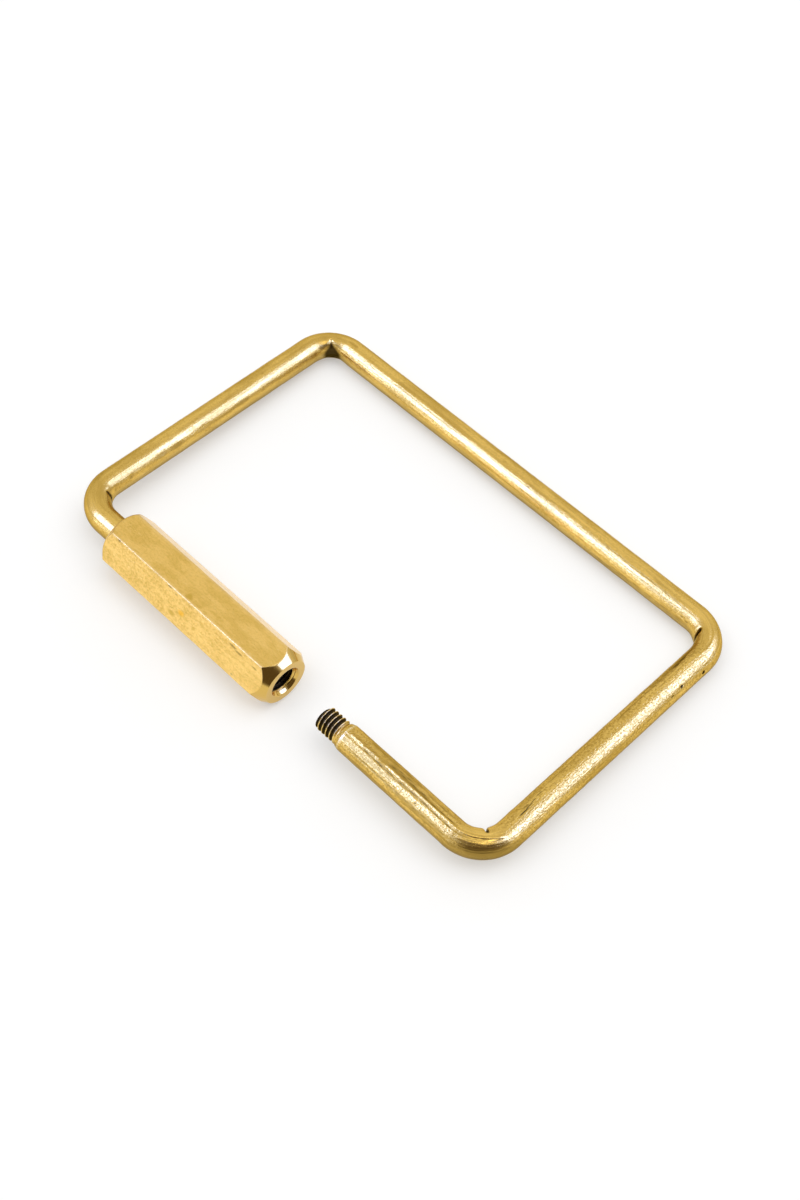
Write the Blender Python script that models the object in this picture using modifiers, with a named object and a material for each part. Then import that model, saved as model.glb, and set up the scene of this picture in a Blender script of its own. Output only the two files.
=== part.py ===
"""Brass key ring: a bent wire frame with threaded ends, and a hexagonal sleeve that screws across its gap.

The ring lies on a table. The sleeve rests on one of its flats and the far side of the wire rests beside
it, so the ring's plane tilts a little. X runs along the long sides, Y from the sleeve to the far side.
The sleeve is drawn back to the left, which leaves the ring open.
"""

import math

import bmesh
import bpy
from mathutils import Matrix, Vector

# Wire frame, on the wire's centreline
WIRE_DIAMETER = 0.00476
LONG_SIDE = 0.0915
SHORT_SIDE = 0.0575
BEND_RADIUS = 0.0059

# Threaded ends
SHOULDER_STEP = 0.00029
SHOULDER_LENGTH = 0.00073
THREAD_PITCH = 0.00079375
CREST_WIDTH = THREAD_PITCH / 8
ROOT_WIDTH = THREAD_PITCH / 4
THREAD_DEPTH = 0.6134 * THREAD_PITCH
STUB_THREAD_LENGTH = 0.0044
HELD_THREAD_LENGTH = 0.0061
TIP_CHAMFER = 0.00035
SHOULDER_RIM = 0.00005
THREAD_ROOTING = 0.0005

# Hexagonal sleeve
HEX_ACROSS_FLATS = 0.00952
HEX_EDGE_ROUNDING = 0.00015
SLEEVE_LENGTH = 0.0388
FRONT_CONE_ANGLE = math.radians(30)
FRONT_CONE_ON_FLATS = 0.00105
REAR_CONE_ANGLE = math.radians(40)
REAR_CONE_ON_FLATS = 0.0001
BORE_CLEARANCE = 0.0003
COUNTERSINK_LIP = 0.0005
COUNTERSINK_ANGLE = math.radians(45)

# Where the sleeve stands, and how far it screws
SLEEVE_SETBACK = 0.0106
SEAT_GAP = 0.0003
CLOSING_TURNS = 17

# Fineness of the round shapes
WIRE_BEVEL_RESOLUTION = 12
BEND_STEPS = 10
THREAD_STEPS = 16
TURNED_STEPS = 48
CUT_MARGIN = 0.002
WELD = 0.000001

WIRE_RADIUS = WIRE_DIAMETER / 2
THREAD_RADIUS = WIRE_RADIUS - SHOULDER_STEP
BORE_RADIUS = THREAD_RADIUS + BORE_CLEARANCE
COUNTERSINK_RADIUS = WIRE_RADIUS + COUNTERSINK_LIP
HEX_CORNER_RADIUS = HEX_ACROSS_FLATS / math.sqrt(3)
FRONT_FACE_RADIUS = HEX_ACROSS_FLATS / 2 - FRONT_CONE_ON_FLATS * math.tan(FRONT_CONE_ANGLE)
REAR_FACE_RADIUS = HEX_ACROSS_FLATS / 2 - REAR_CONE_ON_FLATS * math.tan(REAR_CONE_ANGLE)
CLOSING_TRAVEL = CLOSING_TURNS * THREAD_PITCH
TAIL_THREAD_LENGTH = CLOSING_TRAVEL + HELD_THREAD_LENGTH

# The sleeve's axis, with the box around the whole ring centred on Y
RING_TILT = math.asin((HEX_ACROSS_FLATS - WIRE_DIAMETER) / 2 / SHORT_SIDE)
AXIS_HEIGHT = HEX_ACROSS_FLATS / 2
AXIS_Y = (HEX_CORNER_RADIUS - SHORT_SIDE * math.cos(RING_TILT) - WIRE_RADIUS) / 2

# Places along the sleeve's axis
SLEEVE_REAR_X = SLEEVE_SETBACK - LONG_SIDE / 2
SLEEVE_FRONT_X = SLEEVE_REAR_X + SLEEVE_LENGTH
TAIL_SHOULDER_X = SLEEVE_REAR_X - SEAT_GAP
STUB_SHOULDER_X = SLEEVE_FRONT_X + CLOSING_TRAVEL + SEAT_GAP


def clear_scene():
    for item in list(bpy.data.objects):
        bpy.data.objects.remove(item, do_unlink=True)


def new_collection(name):
    collection = bpy.data.collections.new(name)
    bpy.context.scene.collection.children.link(collection)
    return collection


def make_material(name, color, roughness):
    material = bpy.data.materials.new(name)
    material.use_nodes = True
    shader = material.node_tree.nodes["Principled BSDF"]
    shader.inputs["Base Color"].default_value = (*color, 1)
    shader.inputs["Roughness"].default_value = roughness
    shader.inputs["Metallic"].default_value = 1
    return material


def hide_as_tool(item):
    item.hide_render = True
    item.display_type = "WIRE"


def shade(mesh):
    mesh.shade_smooth()
    mesh.set_sharp_from_angle(angle=math.radians(25))


def evaluated_mesh(item):
    """The object's mesh as its modifiers leave it."""
    graph = bpy.context.evaluated_depsgraph_get()
    return bpy.data.meshes.new_from_object(item.evaluated_get(graph))


def screw(item, steps, rise=0.0, turns=1):
    """Turns the object's profile about its local Z axis, rising as a helix if asked."""
    modifier = item.modifiers.new("turn", "SCREW")
    modifier.axis = "Z"
    modifier.angle = 2 * math.pi
    modifier.steps = steps
    modifier.render_steps = steps
    modifier.screw_offset = rise
    modifier.iterations = turns
    modifier.use_merge_vertices = True
    modifier.merge_threshold = WELD


def boolean(item, other, operation):
    modifier = item.modifiers.new(other.name, "BOOLEAN")
    modifier.operation = operation
    modifier.object = other
    modifier.solver = "EXACT"


def profile_object(name, points, collection):
    """A chain of edges through (radius, height) points in the local XZ plane."""
    mesh = bpy.data.meshes.new(name)
    edges = [(i, i + 1) for i in range(len(points) - 1)]
    mesh.from_pydata([(radius, 0, height) for radius, height in points], edges, [])
    item = bpy.data.objects.new(name, mesh)
    collection.objects.link(item)
    return item


def along_axis(x):
    """Placement that lays a local Z axis along the sleeve's axis, with its zero at x."""
    turn = Matrix.Rotation(math.pi / 2, 4, "Y")
    return Matrix.Translation((x, AXIS_Y, AXIS_HEIGHT)) @ turn


def on_ring(x, across):
    """A point of the ring's tilted plane, at a distance across from the sleeve's axis."""
    return Vector((x, AXIS_Y + across * math.cos(RING_TILT), AXIS_HEIGHT - across * math.sin(RING_TILT)))


def bend_points(corner, before, after):
    """Points round one bend, from the side that points to before to the side that points to after."""
    back = (before - corner).normalized()
    ahead = (after - corner).normalized()
    centre = corner + (back + ahead) * BEND_RADIUS
    angles = [math.pi / 2 * step / BEND_STEPS for step in range(BEND_STEPS + 1)]
    return [centre - BEND_RADIUS * (ahead * math.cos(a) + back * math.sin(a)) for a in angles]


def wire_route():
    """The wire's centreline from the tail's shoulder, round the four bends, to the stub's shoulder."""
    half = LONG_SIDE / 2
    corners = [on_ring(-half, 0), on_ring(-half, SHORT_SIDE), on_ring(half, SHORT_SIDE), on_ring(half, 0)]
    tail = on_ring(TAIL_SHOULDER_X, 0)
    stub = on_ring(STUB_SHOULDER_X, 0)
    stops = [tail] + corners + [stub]
    route = []
    for before, corner, after in zip(stops, corners, stops[2:]):
        route += bend_points(corner, before, after)
    return [tail] + route + [stub]


def bent_wire(collection, material):
    """The wire as one tube, each end bevelled down to the thread."""
    along = Vector((SHOULDER_LENGTH, 0, 0))
    route = wire_route()
    route = [route[0] + along] + route + [route[-1] - along]
    end_scale = (THREAD_RADIUS + SHOULDER_RIM) / WIRE_RADIUS
    curve = bpy.data.curves.new("wire_centreline", "CURVE")
    curve.dimensions = "3D"
    curve.bevel_depth = WIRE_RADIUS
    curve.bevel_resolution = WIRE_BEVEL_RESOLUTION
    curve.use_fill_caps = True
    spline = curve.splines.new("POLY")
    spline.points.add(len(route) - 1)
    for point, place in zip(spline.points, route):
        point.co = (*place, 1)
    spline.points[0].radius = end_scale
    spline.points[-1].radius = end_scale
    tube = bpy.data.objects.new("wire_centreline", curve)
    collection.objects.link(tube)
    mesh = evaluated_mesh(tube)
    work = bmesh.new()
    work.from_mesh(mesh)
    bmesh.ops.remove_doubles(work, verts=work.verts, dist=WELD)
    bmesh.ops.recalc_face_normals(work, faces=work.faces)
    work.to_mesh(mesh)
    work.free()
    wire = bpy.data.objects.new("wire_frame", mesh)
    wire.matrix_world = tube.matrix_world.copy()
    collection.objects.link(wire)
    bpy.data.objects.remove(tube, do_unlink=True)
    wire.data.materials.clear()
    wire.data.materials.append(material)
    return wire


def trim_ends(mesh, low, high):
    """Cuts an open screwed surface square at two heights and closes it with flat ends."""
    work = bmesh.new()
    work.from_mesh(mesh)
    bmesh.ops.remove_doubles(work, verts=work.verts, dist=WELD)
    for height, outward in ((low, -1), (high, 1)):
        geometry = work.verts[:] + work.edges[:] + work.faces[:]
        cut = bmesh.ops.bisect_plane(
            work,
            geom=geometry,
            dist=WELD,
            plane_co=(0, 0, height),
            plane_no=(0, 0, outward),
            clear_outer=True,
        )
        rim = [edge for edge in cut["geom_cut"] if isinstance(edge, bmesh.types.BMEdge)]
        bmesh.ops.edgeloop_fill(work, edges=rim)
    bmesh.ops.recalc_face_normals(work, faces=work.faces)
    work.to_mesh(mesh)
    work.free()


def threaded_rod(name, start, end, tools):
    """A right-hand screw thread between two distances along the axis, square at both ends.

    Every rod is cut from one helix that starts at the tail's shoulder, so the sleeve can run on both.
    """
    flank = (THREAD_PITCH - CREST_WIDTH - ROOT_WIDTH) / 2
    root = THREAD_RADIUS - THREAD_DEPTH
    first = math.floor(start / THREAD_PITCH) - 2
    turns = math.ceil(end / THREAD_PITCH) + 2 - first
    base = first * THREAD_PITCH
    one_pitch = [
        (root, base + THREAD_PITCH),
        (root, base + THREAD_PITCH - ROOT_WIDTH),
        (THREAD_RADIUS, base + THREAD_PITCH - ROOT_WIDTH - flank),
        (THREAD_RADIUS, base + flank),
        (root, base),
    ]
    rod = profile_object(name, one_pitch, tools)
    screw(rod, THREAD_STEPS, rise=THREAD_PITCH, turns=turns)
    mesh = evaluated_mesh(rod)
    trim_ends(mesh, start, end)
    rod.modifiers.clear()
    rod.data = mesh
    rod.matrix_world = along_axis(TAIL_SHOULDER_X)
    hide_as_tool(rod)
    return rod


def chamfered_tip(rod, start, end, tools):
    """Keeps only what lies inside a round envelope whose end at the rod's tip is chamfered."""
    toward = math.copysign(1, end - start)
    wide = THREAD_RADIUS + CUT_MARGIN
    narrow = THREAD_RADIUS - THREAD_DEPTH - TIP_CHAMFER / 2
    cone_start = end - toward * (wide - narrow)
    outline = [(0, end), (narrow, end), (wide, cone_start), (wide, start - toward * CUT_MARGIN)]
    outline.append((0, start - toward * CUT_MARGIN))
    if toward < 0:
        outline.reverse()
    envelope = profile_object(rod.name + "_envelope", outline, tools)
    screw(envelope, TURNED_STEPS)
    envelope.matrix_world = rod.matrix_world.copy()
    hide_as_tool(envelope)
    boolean(rod, envelope, "INTERSECT")


def make_wire_frame(collection, tools, material):
    wire = bent_wire(collection, material)
    tail_start = SHOULDER_LENGTH - THREAD_ROOTING
    tail_end = SHOULDER_LENGTH + TAIL_THREAD_LENGTH
    tail = threaded_rod("tail_thread", tail_start, tail_end, tools)
    chamfered_tip(tail, tail_start, tail_end, tools)
    stub_start = STUB_SHOULDER_X - TAIL_SHOULDER_X - SHOULDER_LENGTH
    stub_end = stub_start - STUB_THREAD_LENGTH
    stub = threaded_rod("stub_thread", stub_end, stub_start + THREAD_ROOTING, tools)
    chamfered_tip(stub, stub_start + THREAD_ROOTING, stub_end, tools)
    boolean(wire, tail, "UNION")
    boolean(wire, stub, "UNION")
    return wire


def make_hex_sleeve(collection, tools, material):
    """Hexagonal bar, coned at both ends, with a through bore countersunk at both mouths."""
    work = bmesh.new()
    bmesh.ops.create_cone(
        work,
        cap_ends=True,
        segments=6,
        radius1=HEX_CORNER_RADIUS,
        radius2=HEX_CORNER_RADIUS,
        depth=SLEEVE_LENGTH,
        matrix=Matrix.Translation((0, 0, SLEEVE_LENGTH / 2)),
    )
    corners_to_y = Matrix.Rotation(math.pi / 2 - corner_angle(work), 4, "Z")
    bmesh.ops.transform(work, matrix=corners_to_y, verts=work.verts)
    mesh = bpy.data.meshes.new("hex_sleeve")
    work.to_mesh(mesh)
    work.free()
    sleeve = bpy.data.objects.new("hex_sleeve", mesh)
    collection.objects.link(sleeve)
    sleeve.matrix_world = along_axis(SLEEVE_REAR_X)
    sleeve.data.materials.append(material)
    rounding = sleeve.modifiers.new("edge rounding", "BEVEL")
    rounding.width = HEX_EDGE_ROUNDING
    rounding.segments = 2
    rounding.limit_method = "ANGLE"
    boolean(sleeve, end_cones(tools), "INTERSECT")
    boolean(sleeve, bore_cutter(tools), "DIFFERENCE")
    return sleeve


def corner_angle(work):
    """The direction of the prism's first corner about its axis."""
    work.verts.ensure_lookup_table()
    corner = work.verts[0].co
    return math.atan2(corner.y, corner.x)


def end_cones(tools):
    """Round envelope with a long cone at the front and a short one, only for the corners, at the rear."""
    wide = HEX_CORNER_RADIUS + CUT_MARGIN
    front_length = (wide - FRONT_FACE_RADIUS) / math.tan(FRONT_CONE_ANGLE)
    rear_length = (wide - REAR_FACE_RADIUS) / math.tan(REAR_CONE_ANGLE)
    outline = [
        (0, SLEEVE_LENGTH),
        (FRONT_FACE_RADIUS, SLEEVE_LENGTH),
        (wide, SLEEVE_LENGTH - front_length),
        (wide, rear_length),
        (REAR_FACE_RADIUS, 0),
        (0, 0),
    ]
    return turned_tool("sleeve_end_cones", outline, tools)


def bore_cutter(tools):
    """Plain bore, clear of the threads, with a cone at each mouth that runs on past the end face."""
    slope = math.tan(COUNTERSINK_ANGLE)
    wide = COUNTERSINK_RADIUS + CUT_MARGIN * slope
    depth = (COUNTERSINK_RADIUS - BORE_RADIUS) / slope
    outline = [
        (0, SLEEVE_LENGTH + CUT_MARGIN),
        (wide, SLEEVE_LENGTH + CUT_MARGIN),
        (BORE_RADIUS, SLEEVE_LENGTH - depth),
        (BORE_RADIUS, depth),
        (wide, -CUT_MARGIN),
        (0, -CUT_MARGIN),
    ]
    return turned_tool("sleeve_bore", outline, tools)


def turned_tool(name, outline, tools):
    tool = profile_object(name, outline, tools)
    screw(tool, TURNED_STEPS)
    tool.matrix_world = along_axis(SLEEVE_REAR_X)
    hide_as_tool(tool)
    return tool


def settle(item):
    """Replaces the object's mesh with the one its modifiers make, and shades it."""
    mesh = evaluated_mesh(item)
    item.modifiers.clear()
    item.data = mesh
    mesh.name = item.name
    shade(mesh)


def main():
    clear_scene()
    parts = new_collection("key_ring")
    tools = new_collection("cutters")
    wire_brass = make_material("wire_brass", (0.62, 0.42, 0.13), 0.32)
    sleeve_brass = make_material("sleeve_brass", (0.70, 0.48, 0.16), 0.38)
    wire = make_wire_frame(parts, tools, wire_brass)
    sleeve = make_hex_sleeve(parts, tools, sleeve_brass)
    bpy.context.view_layer.update()
    settle(wire)
    settle(sleeve)


main()
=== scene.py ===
"""The finish of a brass key ring: a bent wire with threaded ends and a hexagonal sleeve that closes it.

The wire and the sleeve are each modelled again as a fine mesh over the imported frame, with the wire's
pinched bends, draw lines and pits, and the sleeve's turned ends and inner thread. The ring lies on a white
table, lit by soft boxes and a pale tent. Lengths are in metres, but in millimetres in the materials and in
the tables that say so.
"""

import math
from collections import namedtuple

import bpy
import numpy as np
from mathutils import Matrix, Vector


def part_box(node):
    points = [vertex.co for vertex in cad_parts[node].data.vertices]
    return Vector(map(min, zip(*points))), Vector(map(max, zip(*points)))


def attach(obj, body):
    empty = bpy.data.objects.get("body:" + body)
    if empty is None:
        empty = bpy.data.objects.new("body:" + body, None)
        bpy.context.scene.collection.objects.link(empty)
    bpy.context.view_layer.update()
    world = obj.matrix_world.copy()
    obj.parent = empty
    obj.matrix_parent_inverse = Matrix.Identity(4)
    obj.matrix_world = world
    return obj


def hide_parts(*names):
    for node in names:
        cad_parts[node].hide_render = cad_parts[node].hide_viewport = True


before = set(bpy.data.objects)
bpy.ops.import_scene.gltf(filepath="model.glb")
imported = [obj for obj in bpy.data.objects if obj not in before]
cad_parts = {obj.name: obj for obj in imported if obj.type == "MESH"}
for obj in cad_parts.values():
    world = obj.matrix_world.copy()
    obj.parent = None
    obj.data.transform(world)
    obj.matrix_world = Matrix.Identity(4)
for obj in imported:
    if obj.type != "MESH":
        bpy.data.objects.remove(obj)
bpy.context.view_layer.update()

MM = 0.001

# Wire, on its centreline
WIRE_DIAMETER = 0.00476
LONG_SIDE = 0.0915
SHORT_SIDE = 0.0575
BEND_RADIUS = 0.0059
SHOULDER_LENGTH = 0.00073
SHOULDER_SEAT_RADIUS = 0.00214
SEAT_GAP = 0.0003

# Screw thread, one right-hand helix for both ends of the wire
THREAD_PITCH = 0.00079375
THREAD_RADIUS = 0.00209
THREAD_ROOT_RADIUS = 0.0016
CREST_SHARE = 1 / 8
ROOT_SHARE = 1 / 4
STUB_THREAD_LENGTH = 0.0044
CLOSING_TURNS = 17
HELD_THREAD_LENGTH = 0.0061
TIP_CHAMFER_RADIUS = 0.00182
RUN_OUT_LENGTH = 1.6 * THREAD_PITCH
RUN_OUT_SHARE = 0.55
TIP_FACE_EDGE = 0.00004

# Hexagonal sleeve
RIDGE_RADIUS = 0.0002
FRONT_FACE_RADIUS = 0.00415
FRONT_CONE_SLOPE = math.tan(math.radians(30))
REAR_FACE_RADIUS = 0.004676
REAR_CONE_SLOPE = math.tan(math.radians(40))
MOUTH_RADIUS = 0.00287
COUNTERSINK_SLOPE = 0.65
INNER_CREST_RADIUS = 0.00232
INNER_THREAD_CLEARANCE = 0.00046
INNER_THREAD_DEPTH = 0.0088
PLAIN_BORE_RADIUS = 0.002385

# How far the sleeve's flats swell, how softly its edges are broken and how wide its ridges are rubbed
FLAT_SWELL = 0.000006
EDGE_SOFTNESS = 0.00004
RIDGE_RUB_WIDTH = 0.00016

# The depths in the sleeve's mouth between which its inner thread goes dark in painted shade, and where along
# the sleeve the worn mottle fades to paint the front lighter, and by how much
THREAD_DARKENS = (0.0008, 0.0010)
FRONT_LIGHTENING_FADES = (-0.016, 0.0)
FRONT_LIGHTENING = 0.4

# How worn the sleeve's sides are, from the top one round by way of the far side
SIDE_WEAR = (0.35, 0.3, 0.8, 0.9, 0.8, 1.0)

# How browned and how glossy the sides are, in the same order
SIDE_DULLNESS = (0.36, 0.0, 0.1, 0.2, 0.1, 0.0)
SIDE_GLOSS = (0.12, 0.8, 0.12, 0.12, 0.12, 0.12)

# Fineness of the meshes
WIRE_SIDES = 160
LEG_STEP = 0.0004
BEND_STEP = 0.0001
THREAD_STEP = THREAD_PITCH / 14
RIDGE_STEPS = 8
FLAT_STEPS = 16
SLEEVE_STEP = 0.0004
FACE_ROWS = 8
CONE_ROWS = 12
BORE_ROWS = 30

# Seeds of the random draws
WIRE_SEED = 7
SLEEVE_SEED = 11

WIRE_RADIUS = WIRE_DIAMETER / 2
SLEEVE_LOW, SLEEVE_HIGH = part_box("hex_sleeve")
REAR_X = SLEEVE_LOW.x
FRONT_X = SLEEVE_HIGH.x
AXIS_Y = (SLEEVE_LOW.y + SLEEVE_HIGH.y) / 2
AXIS_HEIGHT = (SLEEVE_LOW.z + SLEEVE_HIGH.z) / 2
FLAT_DISTANCE = (SLEEVE_HIGH.z - SLEEVE_LOW.z) / 2
CLOSING_TRAVEL = CLOSING_TURNS * THREAD_PITCH
TAIL_THREAD_LENGTH = CLOSING_TRAVEL + HELD_THREAD_LENGTH
TAIL_SHOULDER_X = REAR_X - SEAT_GAP
STUB_SHOULDER_X = FRONT_X + CLOSING_TRAVEL + SEAT_GAP
RING_TILT = math.asin((FLAT_DISTANCE - WIRE_RADIUS) / SHORT_SIDE)
RING_UP = Vector((0, math.sin(RING_TILT), math.cos(RING_TILT)))


# The wire's route

def ring_point(x, across):
    """A point of the ring's tilted plane, at a distance across from the sleeve's axis."""
    y = AXIS_Y + across * math.cos(RING_TILT)
    return Vector((x, y, AXIS_HEIGHT - across * math.sin(RING_TILT)))


def straight(start, end, step):
    """Stations from start up to, but not at, end, and the way that the wire runs at each."""
    length = (end - start).length
    count = max(1, round(length / step))
    travel = (end - start) / length
    return [start.lerp(end, i / count) for i in range(count)], [travel] * count


def bend(corner, before, after):
    """Stations round a bend at the corner between two other corners, without the last."""
    arrive = (corner - before).normalized()
    leave = (after - corner).normalized()
    centre = corner + (leave - arrive) * BEND_RADIUS
    count = round(BEND_RADIUS * math.pi / 2 / BEND_STEP)
    turns = [math.pi / 2 * i / count for i in range(count)]
    points = [centre + BEND_RADIUS * (arrive * math.sin(a) - leave * math.cos(a)) for a in turns]
    return points, [arrive * math.cos(a) + leave * math.sin(a) for a in turns]


class Route:
    """The centreline from the tail's tip, round the ring, to the stub's tip.

    runs holds each station's distance along the wire, and places that distance at the middle of each bend. A
    bend is named by its corner: left_front, left_back, right_back or right_front.
    """

    def __init__(self):
        self.points = []
        self.travels = []
        self.places = {}
        half = LONG_SIDE / 2
        corners = {
            "left_front": ring_point(-half, 0),
            "left_back": ring_point(-half, SHORT_SIDE),
            "right_back": ring_point(half, SHORT_SIDE),
            "right_front": ring_point(half, 0),
        }
        tail_tip = ring_point(TAIL_SHOULDER_X + SHOULDER_LENGTH + TAIL_THREAD_LENGTH, 0)
        stub_tip = ring_point(STUB_SHOULDER_X - SHOULDER_LENGTH - STUB_THREAD_LENGTH, 0)
        tail_shoulder = ring_point(TAIL_SHOULDER_X, 0)
        stub_shoulder = ring_point(STUB_SHOULDER_X, 0)
        stops = [tail_tip, *corners.values(), stub_tip]
        self.add(*straight(tail_tip, tail_shoulder, THREAD_STEP))
        leg_start = tail_shoulder
        for name, before, corner, after in zip(corners, stops, stops[1:], stops[2:]):
            back = (before - corner).normalized()
            ahead = (after - corner).normalized()
            self.add(*straight(leg_start, corner + back * BEND_RADIUS, LEG_STEP))
            self.places[name] = self.length() + BEND_RADIUS * math.pi / 4
            self.add(*bend(corner, before, after))
            leg_start = corner + ahead * BEND_RADIUS
        self.add(*straight(leg_start, stub_shoulder, LEG_STEP))
        self.add(*straight(stub_shoulder, stub_tip, THREAD_STEP))
        self.points.append(stub_tip)
        self.travels.append(self.travels[-1])
        steps = [(b - a).length for a, b in zip(self.points, self.points[1:])]
        self.runs = np.concatenate([[0], np.cumsum(steps)])

    def length(self):
        return sum((b - a).length for a, b in zip(self.points, self.points[1:]))

    def add(self, points, travels):
        self.points += points
        self.travels += travels


# The wire's surface

Crease = namedtuple(
    "Crease",
    "bend at_top at_low top low narrow slit_width slit_depth valley_width valley_depth step",
)

# Where the wire was pinched on the inner side of each bend. In this table and those below, offsets are along
# the wire from a bend's middle, turns are degrees round the wire from its inner side up, and lengths are in
# millimetres.
CREASES = [
    Crease("left_back", 0.35, 1.25, 80, -60, 0.2, 0.6, 0.03, 1.5, 0.55, 0),
    Crease("right_back", -0.65, 1.7, 62, -40, 0.7, 0.2, 0.6, 0.8, 0.16, 0.12),
    Crease("right_front", -0.5, -0.4, 70, -40, 1, 0.22, 0.6, 0.5, 0.1, 0),
    Crease("left_front", 1.4, 1.2, 58, -5, 0.6, 0.24, 0.2, 0.9, 0.16, 0),
]

# Degrees over which a crease begins and ends, the share of its way down by which it is at full width, and
# how soon and how far the step beyond it fades
CREASE_FADE = 12
CREASE_WIDENED_BY = 0.6
CREASE_STEP_RISE = 0.15
CREASE_STEP_REACH = 1.4

# Dull zones on top of the bends: an offset, a length along the wire and a strength
PINCHED_ZONES = [
    ("left_back", 0.7, 2.4, 0.9),
    ("left_front", 1.2, 2.2, 0.7),
    ("right_back", 0.4, 1.6, 0.3),
]

# Dents, and with a negative depth the small bulges of metal that the bending pushed up, by bend: an offset,
# a turn, a length, a width and a depth
DENTS = {
    "left_back": [
        (5.0, 88, 1.2, 0.3, 0.04),
    ],
    "right_back": [
        (0.3, 59, 0.5, 0.4, -0.08),
        (-1.1, 30, 0.3, 0.8, -0.05),
        (7.1, 158, 0.35, 0.3, 0.11),
        (12.2, 135, 0.3, 0.3, 0.08),
        (14.7, 141, 0.4, 0.2, 0.06),
        (-5.4, 27, 0.4, 0.2, 0.07),
        (-4.2, 20, 0.4, 0.2, 0.06),
        (9.2, 45, 1.8, 0.4, 0.05),
    ],
    "right_front": [
        (11.5, 133, 0.3, 0.35, 0.09),
        (11.0, 142, 0.3, 0.3, -0.06),
        (-1.2, 50, 0.3, 0.4, -0.06),
    ],
    "left_front": [
        (2.3, 52, 0.6, 0.45, -0.05),
        (3.8, 20, 0.8, 0.6, 0.08),
        (7.9, 29, 0.4, 0.4, 0.09),
        (14.7, 36, 1.4, 0.4, 0.06),
        (18.0, 30, 1.6, 0.4, 0.05),
        (24.0, 33, 1.2, 0.4, 0.05),
    ],
}

# Raised lines that the drawing die left, as turns at offsets from a bend. The first runs along the
# stub's leg and has a break, and the second runs round the outside of the right-hand far bend.
DieRidge = namedtuple("DieRidge", "bend offsets turns height width break_at")
DIE_RIDGES = [
    DieRidge(
        "right_front",
        (-3.0, -1.8, 0.85, 2.5, 6.0, 12.0, 26.0, 27.5),
        (108, 102, 93, 92, 93, 92, 92, 92),
        0.12,
        0.22,
        19.8,
    ),
    DieRidge(
        "right_back",
        (-3.6, -2.4, -0.3, 0.95, 2.5, 4.1, 5.2, 6.6),
        (108, 108, 106, 104, 100, 96, 94, 93),
        0.06,
        0.18,
        None,
    ),
]
DIE_BREAK_LENGTH = 0.7

# Where the groove beside a raised line lies, in widths of the line, and how deep it is to the line's height
GROOVE_OFFSET = 2.2
GROOVE_SHARE = 0.6

# The drawing die's faint lines: degrees from one to the next, how far each strays in radians, how wide they
# are and over what lengths they come and go in metres, and how strong they are
DIE_LINE_STEP = 7
DIE_LINE_STRAY = 0.05
DIE_LINE_WIDTHS = (0.00010, 0.00022)
DIE_LINE_PERIODS = (0.03, 0.08)
DIE_LINE_STRENGTHS = (0.4, 1)

# Dark lines that stand out, along the stub's leg and the right and far sides: a turn, where each starts and
# ends from the stub leg's bend, and a strength. Many faint ones are scattered besides. Widths are in metres.
DARK_LINES = [
    (143, 4, 26, 0.8),
    (105.5, -1, 25, 1.0),
    (86, 4, 15, 1.0),
    (79, 10, 20, 1.0),
    (72, 13, 19, 0.9),
    (66, 5, 12, 0.7),
    (58, 12, 24, 0.7),
    (150, 9, 18, 0.6),
    (157, 3, 14, 0.6),
    (118, 14, 24, 0.35),
    (0, -80, -57, 1.0),
    (9, -76, -58, 0.9),
    (77, -68, -65, 1.0),
    (84, -70, -62, 0.5),
    (116, -66, -57, 0.6),
    (42, -53, -34, 1.0),
    (50, -50, -38, 1.0),
    (57, -48, -30, 0.9),
    (66, -50, -40, 0.6),
]
DARK_LINE_WIDTH = 0.00015
FAINT_LINE_WIDTH = 0.0001
FAINT_LINE_COUNT = 220

# Where the faint ones start, how long and how dark they are, and the length over which any line's ends fade
FAINT_LINE_STARTS = (-240, 20)
FAINT_LINE_LENGTHS = (4, 16)
FAINT_LINE_DARKNESS = (0.2, 0.75)
LINE_END_FADE = 1.5

# How lined, grained, browned and streaked the tail's leg, the left, far and right sides and the stub's leg
# are, and the length over which that changes at a bend
LEG_LINES = (0.35, 0.35, 0.6, 0.6, 1.0)
LEG_GRAIN = (0.35, 0.35, 0.4, 1.0, 0.9)
LEG_DULLNESS = (0.3, 0.5, 0.25, 0.15, 0.15)
LEG_STREAKS = (0.3, 0.4, 0.7, 0.8, 1.0)
LEG_CHANGE = 0.003

# How far a bend reaches either way, and how much weaker its grain and its streaks are
BEND_REACH = 0.0038
BEND_GRAIN_LOSS = 0.75
BEND_STREAK_LOSS = 0.8

# Waves and lumps of the wire, and the swell of the sleeve's flats: a length, how many there are and the most
# lobes round
WAVES = (0.009, 12, 3)
LUMPS = (0.0024, 40, 8)
SWELL = (0.012, 10, 6)

# How high the wire's slow waves, its lumps, its die lines and its wrinkles stand
WAVE_HEIGHT = 0.000006
LUMP_HEIGHT = 0.0000045
DIE_LINE_HEIGHT = 0.000012
WRINKLE_HEIGHT = 0.000009

# Where the wrinkles are, as for a dent, and how they lie
WRINKLES = (1.4, 78, 1.3, 0.8)
WRINKLE_SLANT = 0.6
WRINKLE_SPACING = 0.00045

# The depths at which a slit, the valley beside it and a dent are painted black, as painted shade
SLIT_BLACK_DEPTH = 0.0003
VALLEY_BLACK_DEPTH = 0.0005
DENT_BLACK_DEPTH = 0.00028

# A painted dark reflection on the outer side of the bend before the stub's leg, with the turns in radians
# over which it starts and ends, painted shade in the grooves beside the raised lines, and how wide the
# shoulders' edges are rubbed
DARK_REFLECTION_REACH = 0.0062
DARK_REFLECTION_STARTS = (2.15, 2.7)
DARK_REFLECTION_ENDS = (3.9, 3.3)
DARK_REFLECTION_STRENGTH = 0.44
GROOVE_SHADE_STRENGTH = 0.15
SHOULDER_EDGE_WIDTH = 0.00008
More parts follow.
